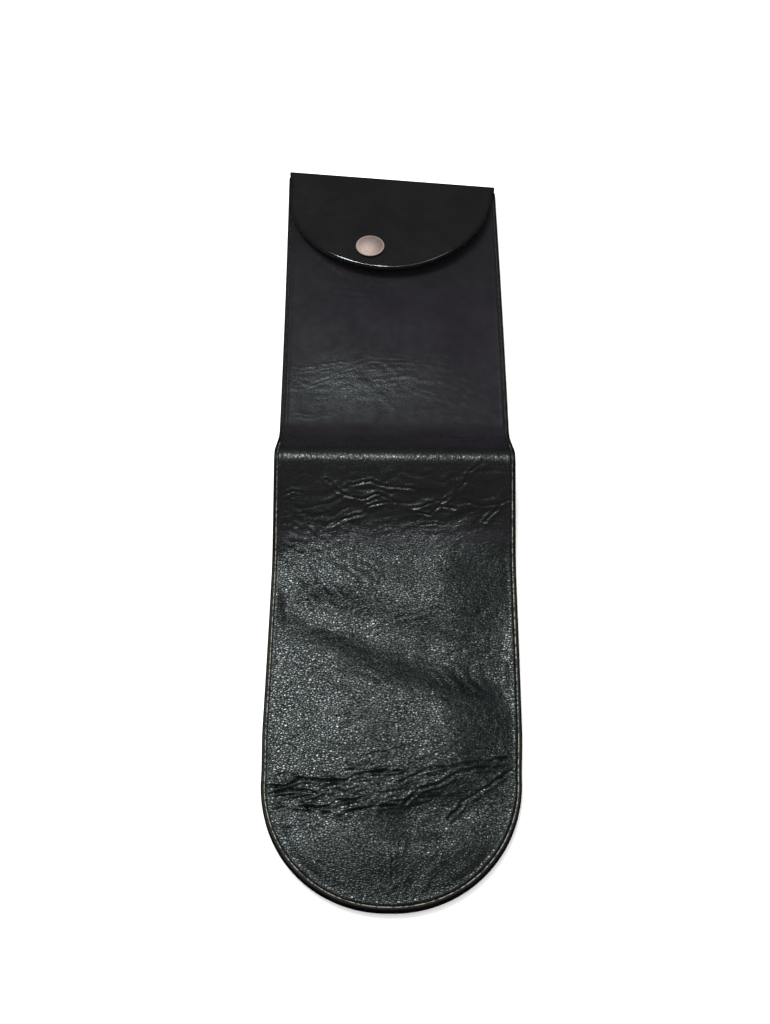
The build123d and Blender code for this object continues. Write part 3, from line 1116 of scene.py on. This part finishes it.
def softbox(name, direction, size, radiance, colour):
    """Rectangular light aimed at the middle of the case, as bright as its radiance says."""
    light = bpy.data.lights.new(name, "AREA")
    light.shape = "RECTANGLE"
    light.size, light.size_y = size
    light.energy = radiance * math.pi * size[0] * size[1]
    light.color = colour
    obj = bpy.data.objects.new(name, light)
    away = Vector(direction).normalized()
    obj.location = away * LIGHT_DISTANCE
    obj.rotation_euler = away.to_track_quat("Z", "Y").to_euler()
    bpy.context.scene.collection.objects.link(obj)


def world(strength):
    """Even white surroundings, unseen in reflections."""
    made = bpy.data.worlds.new("studio")
    made.use_nodes = True
    background = made.node_tree.nodes["Background"]
    background.inputs["Color"].default_value = (1, 1, 1, 1)
    background.inputs["Strength"].default_value = strength
    made.cycles_visibility.glossy = False
    bpy.context.scene.world = made


def camera():
    """Almost on the long axis, well above the table, held half a degree off level."""
    data = bpy.data.cameras.new("camera")
    data.lens, data.sensor_width = 52.0, 36.0
    obj = bpy.data.objects.new("camera", data)
    back = Vector((0, -math.cos(CAMERA_ELEVATION), math.sin(CAMERA_ELEVATION)))
    obj.location = Vector(CAMERA_AIM) + back * CAMERA_DISTANCE
    tilt = Matrix.Rotation(math.pi / 2 - CAMERA_ELEVATION, 3, "X")
    obj.rotation_euler = (tilt @ Matrix.Rotation(CAMERA_ROLL, 3, "Z")).to_euler()
    bpy.context.scene.collection.objects.link(obj)
    bpy.context.scene.camera = obj


# ---------------------------------------------------------------- assembly

CLOTH = leathercloth()
RIM = rim_look()
LINING = lining_look()
CAP = metal("nickel_cap", (0.42, 0.310, 0.285, 1), (0.50, 0.370, 0.34, 1), 0.70, 900.0)
NICKEL = metal("nickel_parts", (0.48, 0.46, 0.43, 1), (0.62, 0.60, 0.57, 1), 0.28, 900.0)
STEEL = metal("spring_steel", (0.42, 0.42, 0.44, 1), (0.55, 0.55, 0.57, 1), 0.22, 1500.0)

BACK_LINING = (PANEL_THICK, PANEL_THICK + LINING_THICK)
FRONT_INSIDE = SLEEVE_THICK - PANEL_THICK
FRONT_LINING = (FRONT_INSIDE - LINING_THICK, FRONT_INSIDE)

front_sheets(CLOTH)
plain_sheets("back_sheet", "back_panel", (0.0, PANEL_THICK), BACK_GRID, CLOTH)
plain_sheets("back_lining_sheet", "back_lining", BACK_LINING, LINING_GRID, LINING)
plain_sheets("front_lining_sheet", "front_lining", FRONT_LINING, LINING_GRID, LINING,
             crowned=True)
rims(RIM)
flap_sheets(CLOTH, LINING)
flap_bead(bead_look())
snap_cap(CAP)
SNAP_LOOKS = {
    "snap_socket": NICKEL,
    "snap_stud": NICKEL,
    "snap_eyelet": NICKEL,
    "snap_socket_spring": STEEL,
}
for node, look in SNAP_LOOKS.items():
    frame["nodes"][node].data.materials.clear()
    frame["nodes"][node].data.materials.append(look)

floor(floor_look())
world(WORLD_STRENGTH)
for light in LIGHTS:
    softbox(*light)
camera()
bpy.context.scene.view_settings.view_transform = "Standard"
